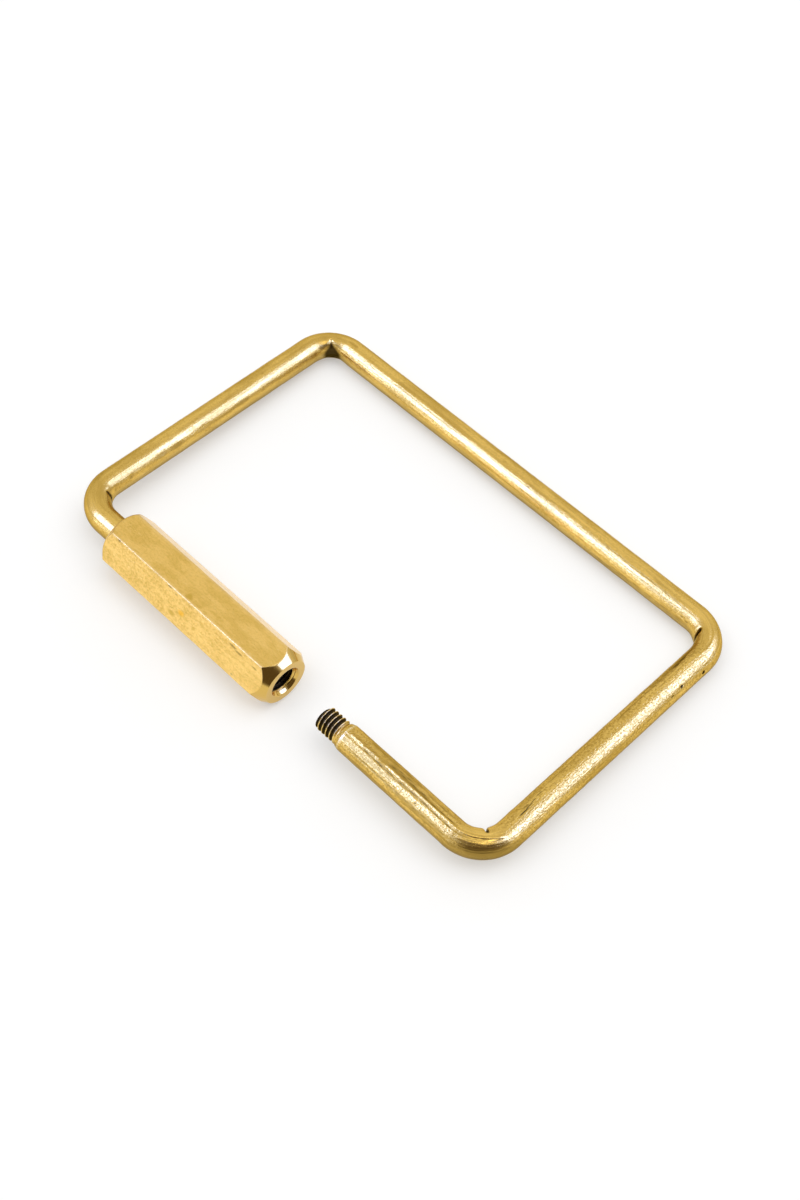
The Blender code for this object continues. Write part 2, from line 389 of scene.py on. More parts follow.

# The heights round the wire, from -1 to 1, over which the pinched tops' dullness and the underside's painted
# shade come in, and how rubbed the thread's crests are and how grainy it is
TOP_FADES = (-0.2, 0.9)
UNDERSIDE_SHADE_FADES = (0.35, -0.25)
CREST_RUB = 0.45
THREAD_GRAIN = 0.2


def smooth(low, high, value):
    """A soft step from 0 at low to 1 at high."""
    share = np.clip((value - low) / (high - low), 0, 1)
    return share * share * (3 - 2 * share)


def hump(off, width, power=2):
    """1 where off is 0, falling off softly on both sides over a width."""
    return np.exp(-((off / width) ** power))


def wrapped(turn):
    """Angles brought to the half turn either side of zero."""
    return (turn + np.pi) % (2 * np.pi) - np.pi


def waves(rng, run, turn, length, count, most_round):
    """A smooth unevenness of about unit size over the wire: waves along it and round it."""
    total = 0
    for _ in range(count):
        wave = 2 * np.pi * rng.uniform(0.5, 2) / length
        lobes = rng.integers(0, most_round + 1)
        phase = rng.uniform(0, 2 * np.pi)
        total = total + np.sin(wave * run + lobes * turn + phase)
    return total / math.sqrt(count / 2)


def by_leg(places, run, values, bend_loss=0):
    """A value along the wire that changes softly from one leg's to the next's, and is weaker in the bends."""
    level = values[0]
    for place, before, after in zip(places.values(), values, values[1:]):
        level = level + (after - before) * smooth(place - LEG_CHANGE, place + LEG_CHANGE, run)
    for place in places.values():
        level = level * (1 - bend_loss * hump(run - place, BEND_REACH, 4))
    return level


def thread_radius(x, around):
    """The outer thread's radius at a distance along the axis and an angle round it from straight down."""
    phase = ((x - TAIL_SHOULDER_X) / THREAD_PITCH - around / (2 * np.pi)) % 1
    flank = (1 - CREST_SHARE - ROOT_SHARE) / 2
    rise = np.clip(phase / flank, 0, 1)
    fall = np.clip((1 - ROOT_SHARE - phase) / flank, 0, 1)
    return THREAD_ROOT_RADIUS + (THREAD_RADIUS - THREAD_ROOT_RADIUS) * np.minimum(rise, fall)


def threaded_end(radius, from_tip, thread_length, x, around):
    """The radius with one end of the wire turned down to its thread and shoulder."""
    run_out = RUN_OUT_SHARE * smooth(thread_length - RUN_OUT_LENGTH, thread_length, from_tip)
    thread = thread_radius(x, around)
    thread = thread + run_out * (THREAD_RADIUS - thread)
    thread = np.minimum(thread, TIP_CHAMFER_RADIUS + from_tip)
    climb = (from_tip - thread_length) / SHOULDER_LENGTH
    shoulder = SHOULDER_SEAT_RADIUS + (WIRE_RADIUS - SHOULDER_SEAT_RADIUS) * np.clip(climb, 0, 1)
    turned = np.where(from_tip < thread_length, thread, np.minimum(shoulder, radius))
    return np.where(from_tip < thread_length + SHOULDER_LENGTH, turned, radius)


def crease_depths(crease, middle, run, turn):
    """How deep a pinched bend's slit is, the valley round it, and the step down beyond it."""
    degrees = np.degrees(turn)
    drop = np.clip((crease.top - degrees) / (crease.top - crease.low), 0, 1)
    inner_scale = 1 - WIRE_RADIUS / BEND_RADIUS * np.cos(turn)
    line = crease.at_top + (crease.at_low - crease.at_top) * drop
    off = ((run - middle) / MM - line) * inner_scale
    below_top = smooth(crease.top, crease.top - CREASE_FADE, degrees)
    within = MM * below_top * smooth(crease.low - CREASE_FADE, crease.low + CREASE_FADE, degrees)
    widening = crease.narrow + (1 - crease.narrow) * smooth(0, CREASE_WIDENED_BY, drop)
    slit = within * crease.slit_depth * hump(off, crease.slit_width * widening)
    valley = within * widening * crease.valley_depth * hump(off, crease.valley_width * widening)
    beyond = within * crease.step * smooth(0, CREASE_STEP_RISE, off) * hump(off, CREASE_STEP_REACH)
    return slit, valley, beyond


def bell(mark, middle, run, turn):
    """1 at the middle of a mark near a bend's middle, and falling off softly round it."""
    offset, degrees, length, width = mark
    across = wrapped(turn - math.radians(degrees)) * WIRE_RADIUS
    return hump(run - middle - offset * MM, length * MM) * hump(across, width * MM)


def die_lines(rng, run, turn):
    """Faint lines along the wire, raised or sunk, that come and go over centimetres."""
    total = 0
    for place in np.radians(np.arange(0, 360, DIE_LINE_STEP)):
        place = place + rng.uniform(-DIE_LINE_STRAY, DIE_LINE_STRAY)
        width = rng.uniform(*DIE_LINE_WIDTHS)
        phase = 2 * np.pi * run / rng.uniform(*DIE_LINE_PERIODS) + rng.uniform(0, 2 * np.pi)
        swell = 0.5 + 0.5 * np.sin(phase)
        off = wrapped(turn - place) * WIRE_RADIUS
        strength = rng.choice([-1, 1]) * rng.uniform(*DIE_LINE_STRENGTHS)
        total = total + strength * swell * hump(off, width)
    return total


def dark_lines(rng, middle, run, turn):
    """Dark lines of dirt along the wire: short faint ones all over it, and the ones that stand out."""
    faint = [
        (rng.uniform(0, 360), rng.uniform(*FAINT_LINE_STARTS), rng.uniform(*FAINT_LINE_DARKNESS))
        for _ in range(FAINT_LINE_COUNT)
    ]
    lines = [
        (angle, start, start + rng.uniform(*FAINT_LINE_LENGTHS), dark, FAINT_LINE_WIDTH)
        for angle, start, dark in faint
    ]
    lines += [(*line, DARK_LINE_WIDTH) for line in DARK_LINES]
    offset = (run - middle) / MM
    total = 0
    for angle, start, end, dark, width in lines:
        wobble = 0.02 * np.sin(offset * rng.uniform(0.3, 0.8) + rng.uniform(0, 6))
        off = wrapped(turn - math.radians(angle) - wobble) * WIRE_RADIUS
        begun = smooth(start, start + LINE_END_FADE, offset)
        within = begun * smooth(end, end - LINE_END_FADE, offset)
        patchy = 0.75 + 0.25 * np.sin(offset * rng.uniform(2, 4) + rng.uniform(0, 6))
        total = np.maximum(total, dark * within * patchy * hump(off, width))
    return total


def raised_line(die_ridge, middle, run, turn):
    """How high a raised line stands, and how much of a place its groove, on the inner side, takes."""
    offset = (run - middle) / MM
    line = np.radians(np.interp(offset, die_ridge.offsets, die_ridge.turns))
    first, second, *_, last_but_one, last = die_ridge.offsets
    within = smooth(first, second, offset) * smooth(last, last_but_one, offset)
    if die_ridge.break_at is not None:
        within = within * (1 - hump(offset - die_ridge.break_at, DIE_BREAK_LENGTH))
    off = wrapped(turn - line) * WIRE_RADIUS / MM
    ridge = hump(off, die_ridge.width)
    groove = hump(off + GROOVE_OFFSET * die_ridge.width, die_ridge.width)
    return within * die_ridge.height * MM * (ridge - GROOVE_SHARE * groove), within * groove


def wrinkles(middle, run, turn):
    """Fine slanting wrinkles on the top of the right-hand far bend, beside its crease."""
    across = wrapped(turn) * WIRE_RADIUS
    slant = (run - middle) * math.cos(WRINKLE_SLANT) + across * math.sin(WRINKLE_SLANT)
    return np.sin(2 * np.pi * slant / WRINKLE_SPACING) * bell(WRINKLES, middle, run, turn)


def worked_surface(rng, places, run, turn, lined, grainy):
    """The wire's radius before its ends are turned down, and the painted shade in its creases, dents and
    grooves.
    """
    half_turn = wrapped(turn)
    radius = WIRE_RADIUS + WAVE_HEIGHT * waves(rng, run, turn, *WAVES)
    radius = radius + LUMP_HEIGHT * (0.35 + grainy) * waves(rng, run, turn, *LUMPS)
    radius = radius + DIE_LINE_HEIGHT * lined * die_lines(rng, run, turn)
    grooves = 0
    for die_ridge in DIE_RIDGES:
        height, groove = raised_line(die_ridge, places[die_ridge.bend], run, turn)
        radius = radius + height
        grooves = grooves + groove
    radius = radius + WRINKLE_HEIGHT * wrinkles(places["right_back"], run, turn)
    # A painted dark reflection on the outer side of the bend before the stub's leg, and painted shade in the
    # grooves
    outer_side = smooth(*DARK_REFLECTION_STARTS, turn) * smooth(*DARK_REFLECTION_ENDS, turn)
    dark_reflection = hump(run - places["right_front"], DARK_REFLECTION_REACH, 4) * outer_side
    hollow = np.maximum(GROOVE_SHADE_STRENGTH * grooves, DARK_REFLECTION_STRENGTH * dark_reflection)
    # Creases and dents are painted darker the deeper they are: painted shade and dark reflection
    for crease in CREASES:
        slit, valley, beyond = crease_depths(crease, places[crease.bend], run, half_turn)
        radius = radius - slit - valley - beyond
        slit_black_depth = max(crease.slit_depth * MM, SLIT_BLACK_DEPTH)
        darkness = slit / slit_black_depth + valley / VALLEY_BLACK_DEPTH
        hollow = np.maximum(hollow, np.clip(darkness, 0, 1))
    for bend_name, dents in DENTS.items():
        for *mark, depth in dents:
            sunk = depth * MM * bell(mark, places[bend_name], run, half_turn)
            radius = radius - sunk
            hollow = np.maximum(hollow, np.clip(sunk / DENT_BLACK_DEPTH, 0, 1))
    return radius, hollow


def pinched_dullness(places, run, turn):
    """How much duller the pinched tops of the bends are."""
    total = 0
    for bend_name, offset, length, dullness in PINCHED_ZONES:
        off = (run - places[bend_name]) / MM - offset
        total = total + dullness * hump(off, length) * smooth(*TOP_FADES, np.sin(turn))
    return total


def make_wire(name, route):
    rng = np.random.default_rng(WIRE_SEED)
    centres = np.array(route.points)
    up = np.array(RING_UP)
    inward = np.cross(np.array(route.travels), up)
    turn = np.linspace(0, 2 * np.pi, WIRE_SIDES, endpoint=False)[None, :]
    run = route.runs[:, None]
    spokes = inward[:, None, :] * np.cos(turn)[..., None] + up * np.sin(turn)[..., None]
    lined = by_leg(route.places, run, LEG_LINES)
    grainy = by_leg(route.places, run, LEG_GRAIN, BEND_GRAIN_LOSS)
    radius, hollow = worked_surface(rng, route.places, run, turn, lined, grainy)

    x = centres[:, None, 0]
    around = np.arctan2(spokes[..., 1], -spokes[..., 2])
    radius = threaded_end(radius, run, TAIL_THREAD_LENGTH, x, around)
    radius = threaded_end(radius, route.runs[-1] - run, STUB_THREAD_LENGTH, x, around)
    to_tip = np.minimum(run, route.runs[-1] - run)
    thread_length = np.where(run < route.runs[-1] / 2, TAIL_THREAD_LENGTH, STUB_THREAD_LENGTH)
    in_thread = to_tip < thread_length
    sunk = (THREAD_RADIUS - radius) / (THREAD_RADIUS - THREAD_ROOT_RADIUS)
    # Painted shade in the thread's roots, fading out near the shoulder
    thread_root_shade = smooth(0.0, 0.2, sunk) * smooth(1.1, 0.6, to_tip / thread_length)
    shoulder_edge = hump(to_tip - thread_length - SHOULDER_LENGTH, SHOULDER_EDGE_WIDTH)
    crest_edge = np.where(in_thread, CREST_RUB * smooth(0.05, 0.0, sunk), 0)

    places = centres[:, None, :] + spokes * radius[..., None]
    drawn = np.stack(np.broadcast_arrays(run, WIRE_RADIUS * np.cos(turn), WIRE_RADIUS * np.sin(turn)), -1)
    dull = by_leg(route.places, run, LEG_DULLNESS) + pinched_dullness(route.places, run, turn)
    streaked = by_leg(route.places, run, LEG_STREAKS, BEND_STREAK_LOSS)
    streak = dark_lines(rng, route.places["right_front"], run, turn) * streaked
    # hollow is painted shade: in the thread's roots, creases, dents and grooves, and a dark reflection under
    # a bend
    marks = {
        "hollow": np.where(in_thread, thread_root_shade, hollow),
        "edge": np.maximum(shoulder_edge, crest_edge),
        "lined": np.where(in_thread, 0, lined),
        "grainy": np.where(in_thread, THREAD_GRAIN, grainy),
        "underside_shade": smooth(*UNDERSIDE_SHADE_FADES, np.sin(turn)),
        "dull": np.minimum(dull, 1),
        "threaded": np.where(in_thread, 1, 0),
        "streak": np.where(in_thread, 0, streak),
    }
    marks = {mark: value + 0 * radius for mark, value in marks.items()}
    return skin(name, places, drawn / MM, marks, [centres[0], centres[-1]])


# Meshes

def put(name, data):
    """A new object in the scene, for a mesh, a lamp or a camera."""
    item = bpy.data.objects.new(name, data)
    bpy.context.scene.collection.objects.link(item)
    return item


def skin(name, places, drawn, marks, tips=()):
    """A smooth mesh over a grid of places: rows one after another, each closed round.

    drawn holds each place's pattern coordinates in mm, the first along the metal's grain. marks are named
    values from 0 to 1 for the materials. With tips the columns run clockwise seen along the rows' way, and
    the first and last rows are closed by a flat face each. Without them the columns run anticlockwise, and
    the rows themselves close in a loop.
    """
    rows, columns = places.shape[:2]
    grid = np.arange(rows * columns).reshape(rows, columns)
    after = np.roll(grid, -1, axis=1)
    if tips:
        quads = np.stack([grid[:-1], grid[1:], after[1:], after[:-1]], -1)
    else:
        below = np.roll(grid, -1, axis=0)
        quads = np.stack([after, np.roll(below, -1, axis=1), below, grid], -1)
    faces = quads.reshape(-1, 4).tolist()
    points = places.reshape(-1, 3)
    coordinates = drawn.reshape(-1, 3)
    values = {mark: value.reshape(-1) for mark, value in marks.items()}
    for tip, row, outward in zip(tips, (0, rows - 1), (1, -1)):
        ring = grid[row]
        inner = len(points) + np.arange(columns)
        middle = len(points) + columns
        spokes = places[row] - tip
        narrow = 1 - TIP_FACE_EDGE / np.linalg.norm(spokes, axis=1, keepdims=True)
        points = np.vstack([points, tip + spokes * narrow, [tip]])
        coordinates = np.vstack([coordinates, drawn[row], [drawn[row].mean(axis=0)]])
        for mark, value in values.items():
            values[mark] = np.concatenate([value, marks[mark][row], [marks[mark][row].max()]])
        rim = np.stack([ring, np.roll(ring, -1), np.roll(inner, -1), inner], -1)[:, ::outward]
        faces += rim.tolist()
        fan = np.stack([inner, np.roll(inner, -1), np.full(columns, middle)], -1)[:, ::outward]
        faces += fan.tolist()
    mesh = bpy.data.meshes.new(name)
    mesh.from_pydata(points.tolist(), [], faces)
    add_marks(mesh, coordinates, values)
    mesh.shade_smooth()
    return put(name, mesh)


def add_marks(mesh, coordinates, values):
    drawn = mesh.attributes.new("drawn", "FLOAT_VECTOR", "POINT")
    drawn.data.foreach_set("vector", coordinates.astype(np.float32).reshape(-1))
    for mark, value in values.items():
        attribute = mesh.attributes.new(mark, "FLOAT", "POINT")
        attribute.data.foreach_set("value", value.astype(np.float32))


# The hexagonal sleeve

def toward(angle):
    """The direction across the sleeve at an angle from the top one's, by way of the far side."""
    return np.array([math.sin(angle), math.cos(angle)])


def hex_outline():
    """Points round the rounded hexagon from its axis, how near each is to a ridge, and its side's marks."""
    half_flat = (FLAT_DISTANCE - RIDGE_RADIUS) * math.tan(math.radians(30))
    ridge_centre = (FLAT_DISTANCE - RIDGE_RADIUS) / math.cos(math.radians(30))
    shares = np.concatenate([[0.02], np.linspace(0.06, 0.94, FLAT_STEPS - 1), [0.98]])
    points = []
    ridge = []
    side_marks = []
    for side in range(6):
        facing = math.radians(60 * side)
        outward = toward(facing)
        along = np.array([outward[1], -outward[0]])
        for share in shares:
            points.append(outward * FLAT_DISTANCE + along * half_flat * (2 * share - 1))
            ridge.append(hump(min(share, 1 - share) * 2 * half_flat, RIDGE_RUB_WIDTH))
        centre = ridge_centre * toward(math.radians(60 * side + 30))
        for step in range(RIDGE_STEPS + 1):
            angle = facing + math.radians(60) * step / RIDGE_STEPS
            points.append(centre + RIDGE_RADIUS * toward(angle))
            ridge.append(1)
        marks = (SIDE_WEAR[side], SIDE_DULLNESS[side], SIDE_GLOSS[side])
        side_marks += [marks] * (len(points) - len(side_marks))
    return np.array(points), np.array(ridge), np.array(side_marks).T


def sleeve_rows(reach, around, ridge):
    """The sleeve's rows, from its inner thread out at the front, along its body and in at the rear.

    Each has its x and its radius, how turned it is, how much painted shade it has and how rubbed it is.
    """
    soft = EDGE_SOFTNESS
    for depth in np.arange(INNER_THREAD_DEPTH, soft, -THREAD_STEP):
        x = FRONT_X - depth
        threads = thread_radius(x, around) + INNER_THREAD_CLEARANCE
        cone = MOUTH_RADIUS - depth * COUNTERSINK_SLOPE
        radius = np.maximum(np.maximum(threads, INNER_CREST_RADIUS), cone)
        yield x, radius, cone > INNER_CREST_RADIUS, smooth(*THREAD_DARKENS, depth), 0
    yield FRONT_X - soft / 3, MOUTH_RADIUS + soft / 3, 1, 0, 1
    for radius in np.linspace(MOUTH_RADIUS + soft, FRONT_FACE_RADIUS - soft, FACE_ROWS):
        yield FRONT_X, radius, 1, 0, 0
    yield FRONT_X - soft / 3, FRONT_FACE_RADIUS + soft / 4, 1, 0, 1

    cone_shares = np.linspace(0.03, 0.97, CONE_ROWS)
    front_rise = reach - FRONT_FACE_RADIUS
    front_cone = front_rise / FRONT_CONE_SLOPE
    for share in cone_shares:
        yield FRONT_X - share * front_cone, FRONT_FACE_RADIUS + share * front_rise, 1, 0, 0
    yield FRONT_X - front_cone * 1.005, reach - soft / 6, 0.5, 0, 0.7

    rear_rise = reach - REAR_FACE_RADIUS
    rear_cone = rear_rise / REAR_CONE_SLOPE
    body_start = FRONT_X - front_cone - 2 * soft
    body_end = REAR_X + rear_cone + 2 * soft
    count = round((FRONT_X - REAR_X) / SLEEVE_STEP)
    for step in range(count + 1):
        x = body_start + (body_end - body_start) * step / count
        swell = FLAT_SWELL * waves(np.random.default_rng(SLEEVE_SEED), x, around, *SWELL)
        yield x, reach + swell, 0, 0, ridge
    yield REAR_X + rear_cone + soft / 2, reach - soft / 6, 0.6, 0.35, 0
    for share in cone_shares[::-1]:
        yield REAR_X + share * rear_cone, REAR_FACE_RADIUS + share * rear_rise, 0.6, 0.2, 0

    yield REAR_X + soft / 3, REAR_FACE_RADIUS + soft / 4, 1, 0, 0.5
    for radius in np.linspace(REAR_FACE_RADIUS - soft, MOUTH_RADIUS + soft, FACE_ROWS):
        yield REAR_X, radius, 1, 0, 0
    rear_sink = MOUTH_RADIUS - PLAIN_BORE_RADIUS
    yield REAR_X + soft / 3, MOUTH_RADIUS + soft / 3, 1, 0, 1
    for share in np.linspace(0.08, 1, 5):
        yield REAR_X + rear_sink * share, MOUTH_RADIUS - rear_sink * share, 1, 0.3, 0
    for x in np.linspace(REAR_X + rear_sink + soft, FRONT_X - INNER_THREAD_DEPTH - soft, BORE_ROWS):
        yield x, PLAIN_BORE_RADIUS, 0, 1, 0


def make_sleeve(name):
    outline, ridge, (side_wear, side_dullness, side_gloss) = hex_outline()
    reach = np.linalg.norm(outline, axis=1)
    spokes = outline / reach[:, None]
    around = np.arctan2(spokes[:, 0], -spokes[:, 1])
    rows = list(sleeve_rows(reach, around, ridge))
    x, radius, turned, inside, edge = (
        np.array([np.broadcast_to(row[i], reach.shape) for row in rows]) for i in range(5)
    )
    y = AXIS_Y + spokes[:, 0] * radius
    z = AXIS_HEIGHT + spokes[:, 1] * radius
    places = np.stack([x, y, z], -1)
    marks = {
        "turned": turned,
        # hollow is painted shade: in the bore, its inner thread, the rear mouth and the rear chamfer
        "hollow": inside,
        "edge": edge,
        # The mottle of wear fades toward the front end, a painted lighter front
        "worn": side_wear * (1 - FRONT_LIGHTENING * smooth(*FRONT_LIGHTENING_FADES, x)),
        "dull": side_dullness + 0 * radius,
        "gloss": side_gloss + 0 * radius,
    }
    return skin(name, places, places / MM, marks)


# Materials

ORIGIN = (0, 0, 0)


class Nodes:
    """A node tree, with the nodes that the materials, the shared effects and the world are made of."""

    def __init__(self, tree):
        self.tree = tree

    def link(self, value, socket):
        self.tree.links.new(value, socket)

    def add(self, kind, inputs=None, **settings):
        """A new node's outputs. Its inputs are set to values or linked to other nodes' sockets."""
        node = self.tree.nodes.new(kind)
        for setting, value in settings.items():
            setattr(node, setting, value)
        for socket, value in (inputs or {}).items():
            if isinstance(value, bpy.types.NodeSocket):
                self.link(value, node.inputs[socket])
            else:
                node.inputs[socket].default_value = value
        return node.outputs

    def math(self, operation, *values, clamp=False):
        return self.add("ShaderNodeMath", dict(enumerate(values)), operation=operation, use_clamp=clamp)[0]

    def times(self, *values, clamp=False):
        """The product of the first two values, plus the third if there is one."""
        operation = "MULTIPLY_ADD" if len(values) == 3 else "MULTIPLY"
        return self.math(operation, *values, clamp=clamp)

    def most(self, greatest, *others):
        for other in others:
            greatest = self.math("MAXIMUM", greatest, other)
        return greatest

    def vector(self, operation, *values, output="Vector"):
        return self.add("ShaderNodeVectorMath", dict(enumerate(values)), operation=operation)[output]

    def mix(self, share, first, second):
        """The first colour, turning into the second as the share goes from 0 to 1."""
        inputs = {"Factor": share, 6: first, 7: second}
        return self.add("ShaderNodeMix", inputs, data_type="RGBA", clamp_factor=True)[2]

    def fade(self, value, low, high, to_low=0.0, to_high=1.0):
        """A smooth change from to_low where the value is low to to_high where it is high."""
        inputs = {"Value": value, "From Min": low, "From Max": high, "To Min": to_low, "To Max": to_high}
        return self.add("ShaderNodeMapRange", inputs, interpolation_type="SMOOTHSTEP")[0]

    def stretched(self, place, stretch, shift):
        return self.vector("ADD", self.vector("MULTIPLY", place, stretch), shift)

    def noise(self, place, scale, detail, roughness, distortion=0.0):
        inputs = {"Vector": place, "Scale": scale, "Detail": detail, "Roughness": roughness}
        inputs["Distortion"] = distortion
        return self.add("ShaderNodeTexNoise", inputs, noise_dimensions="3D")["Fac"]


class Effect(Nodes):
    """A shared effect, as a shader node group. Its inputs are named, each with its default."""

    def __init__(self, name, inputs):
        super().__init__(bpy.data.node_groups.new(name, "ShaderNodeTree"))
        kinds = {3: "NodeSocketVector", 4: "NodeSocketColor"}
        for socket, default in inputs.items():
            kind = kinds[len(default)] if isinstance(default, tuple) else "NodeSocketFloat"
            made = self.tree.interface.new_socket(name=socket, in_out="INPUT", socket_type=kind)
            made.default_value = default
        self.given = list(self.tree.nodes.new("NodeGroupInput").outputs)[: len(inputs)]

    def give(self, **results):
        """The finished group, with an output for each result."""
        for socket in results:
            kind = "NodeSocketColor" if socket == "Color" else "NodeSocketFloat"
            self.tree.interface.new_socket(name=socket, in_out="OUTPUT", socket_type=kind)
        out = self.tree.nodes.new("NodeGroupOutput")
        for socket, value in results.items():
            self.link(value, out.inputs[socket])
        return self.tree


def draw_lines():
    """Fine lines along the metal's grain, as a drawing die leaves them, with dirt in the deepest."""
    group = Effect("draw lines", {"Place": ORIGIN, "Lines per mm": 2.0})
    place, density = group.given
    broad = group.noise(group.stretched(place, (0.02, 1, 1), (3.1, 0.7, 5.3)), density, 1, 0.5)
    fine = group.noise(group.stretched(place, (0.09, 2.6, 2.6), (7.4, 1.9, 2.2)), density, 1, 0.5)
    fine_grooves = group.times(group.fade(fine, 0.44, 0.34), 0.8)
    return group.give(
        Height=group.times(fine, 0.5, broad),
        Grooves=group.math("MAXIMUM", group.fade(broad, 0.44, 0.34), fine_grooves),
    )


def worn_skin():
    """The worn, faintly granular skin of handled brass: fine lumps, specks and a few pits."""
    group = Effect("worn skin", {"Place": ORIGIN, "Grains per mm": 2.2, "Pit share": 0.3})
    drawn, density, pit_share = group.given
    place = group.stretched(drawn, (0.7, 1, 1), (1.7, 9.2, 4.4))
    lumps = group.noise(place, density, 2, 0.55)
    speck_place = group.stretched(drawn, (0.8, 1, 1), (8.3, 3.6, 1.9))
    speck_noise = group.noise(speck_place, density, 2, 0.55)
    cluster = group.noise(speck_place, 0.7, 2, 0.5)
    specks = group.fade(group.times(cluster, 0.25, speck_noise), 0.62, 0.78)
    edge = group.times(pit_share, -0.4, 0.86)
    pits = group.fade(group.noise(place, 1.3, 4, 0.65), edge, group.math("ADD", edge, 0.05))
    height = group.times(specks, -0.25, lumps)
    return group.give(
        Height=group.times(pits, -1.2, height),
        Mottle=group.fade(speck_noise, 0.34, 0.66),
        Specks=specks,
        Pits=pits,
    )


def tarnish_and_shade():
    """Where brass has browned, in soft patches and streaks along the grain, and the painted shade of hollows.
    """
    inputs = {"Place": ORIGIN, "Patches per mm": 0.25, "Hollow": 0.0, "Amount": 0.4}
    group = Effect("tarnish_and_shade", inputs)
    drawn, density, hollow, amount = group.given
    patches = group.noise(group.stretched(drawn, (0.4, 1, 1), (6.1, 2.2, 8.8)), density, 5, 0.62, 0.4)
    streaks = group.noise(group.stretched(drawn, (0.06, 1, 1), (2.6, 7.3, 0.4)), 1.4, 3, 0.55)
    streaks = group.times(streaks, 0.35)
    both = group.math("ADD", group.times(patches, 0.65), streaks)
    # The hollow input is painted shade, given a ragged edge here as Depth
    ragged = group.times(group.math("SUBTRACT", patches, 0.5), 0.35, hollow)
    return group.give(
        Mask=group.times(group.fade(both, 0.44, 0.58), amount, clamp=True),
        Depth=group.fade(ragged, 0.15, 0.75),
    )


def dark_spot():
    """One ragged dark spot round a centre."""
    group = Effect(
        "dark spot",
        {"Place": ORIGIN, "Centre": ORIGIN, "Size": (1, 1, 1), "Strength": 1.0, "Softness": 0.3},
    )
    place, centre, size, strength, softness = group.given
    share = group.vector("DIVIDE", group.vector("SUBTRACT", place, centre), size)
    distance = group.math("ADD", group.vector("LENGTH", share, output="Value"), 0.6)
    ragged = group.noise(group.stretched(place, (0.5, 1, 1), ORIGIN), 2.6, 2, 0.5)
    reach = group.times(ragged, -1.2, distance)
    outer = group.math("ADD", 0.95, softness)
    inner = group.math("SUBTRACT", 0.95, softness)
    return group.give(Mask=group.times(group.fade(reach, outer, inner), strength))


def brass_tone():
    """Brass's colour and roughness from its stains, dark pits and rubbed edges, and from painted shade in
    hollows and on undersides.
    """
    group = Effect(
        "brass tone",
        {
            "Clean": (0.90, 0.595, 0.143, 1),
            "Stained": (0.54, 0.335, 0.06, 1),
            # Shaded is painted shade on undersides and turned ends; Deep is painted shade in hollows, and the
            # colour of dark pits and nicks
            "Greyed": (0.50, 0.385, 0.17, 1),
            "Deep": (0.03, 0.018, 0.006, 1),
            "Rubbed": (0.90, 0.70, 0.32, 1),
            "Stain": 0.0,
            "Grey": 0.0,
            "Hollow": 0.0,
            "Edge": 0.0,
            "Smooth": 0.22,
            "Rough": 0.5,
        },
    )
    color, stained, shaded, deep, rubbed, stain, shade, hollow, edge, sleek, rough = group.given
    for share, other in ((stain, stained), (shade, shaded), (edge, rubbed), (hollow, deep)):
        color = group.mix(share, color, other)
    worn = group.math("MAXIMUM", stain, hollow, clamp=True)
    spread = group.math("SUBTRACT", rough, sleek)
    return group.give(Color=color, Roughness=group.times(worn, spread, sleek))


def turning_marks():
    """Rings round the axis, as the lathe tool leaves them on the sleeve's ends."""
    group = Effect("turning marks", {"Place": ORIGIN, "Rings per mm": 7.0})
    place, density = group.given
    axis = (0, AXIS_Y / MM, AXIS_HEIGHT / MM)
    offset = group.add("ShaderNodeSeparateXYZ", {0: group.vector("SUBTRACT", place, axis)})
    across = group.times(offset["Y"], offset["Y"])
    up = group.times(offset["Z"], offset["Z"])
    distance = group.math("SQRT", group.math("ADD", across, up))
    ring_place = group.add("ShaderNodeCombineXYZ", {"X": distance})[0]
    return group.give(Height=group.noise(ring_place, density, 2, 0.5))


class Finish(Nodes):
    """A new brass material, with the nodes that every brass finish here starts from."""

    def __init__(self, name, edge_tint, effects):
        self.material = bpy.data.materials.new(name)
        self.material.use_nodes = True
        super().__init__(self.material.node_tree)
        self.effects = effects
        self.shader = self.tree.nodes["Principled BSDF"]
        self.shader.inputs["Metallic"].default_value = 1
        self.shader.inputs["Specular Tint"].default_value = edge_tint
        self.shader.inputs["Coat Roughness"].default_value = 0.25
        self.place = self.mark("drawn", "Vector")

    def mark(self, name, output="Fac"):
        return self.add("ShaderNodeAttribute", attribute_name=name)[output]

    def effect(self, effect_name, **inputs):
        """The outputs of a shared effect on this metal. The tone is the one effect without a place."""
        group = self.effects[effect_name]
        sockets = {name.replace("_", " "): value for name, value in inputs.items()}
        if "Place" in group.interface.items_tree:
            sockets["Place"] = self.place
        return self.add("ShaderNodeGroup", sockets, node_tree=group)

    def spots(self, spots, softness):
        """The strongest of several spots, each with its centre and size in mm and its strength."""
        masks = [
            self.effect("spot", Centre=centre, Size=size, Strength=strength, Softness=softness)["Mask"]
            for centre, size, strength in spots
        ]
        return self.most(0.0, *masks)

    def complete(self, color, roughness, coat, *bumps):
        """The material, with a normal from several bumps: a height each and how far it stands."""
        normal = {}
        for height, distance in bumps:
            inputs = {"Height": height, "Distance": distance, **normal}
            normal = {"Normal": self.add("ShaderNodeBump", inputs)[0]}
        fed = {"Base Color": color, "Roughness": roughness, "Coat Weight": coat, **normal}
        for socket, value in fed.items():
            self.link(value, self.shader.inputs[socket])
        return self.material


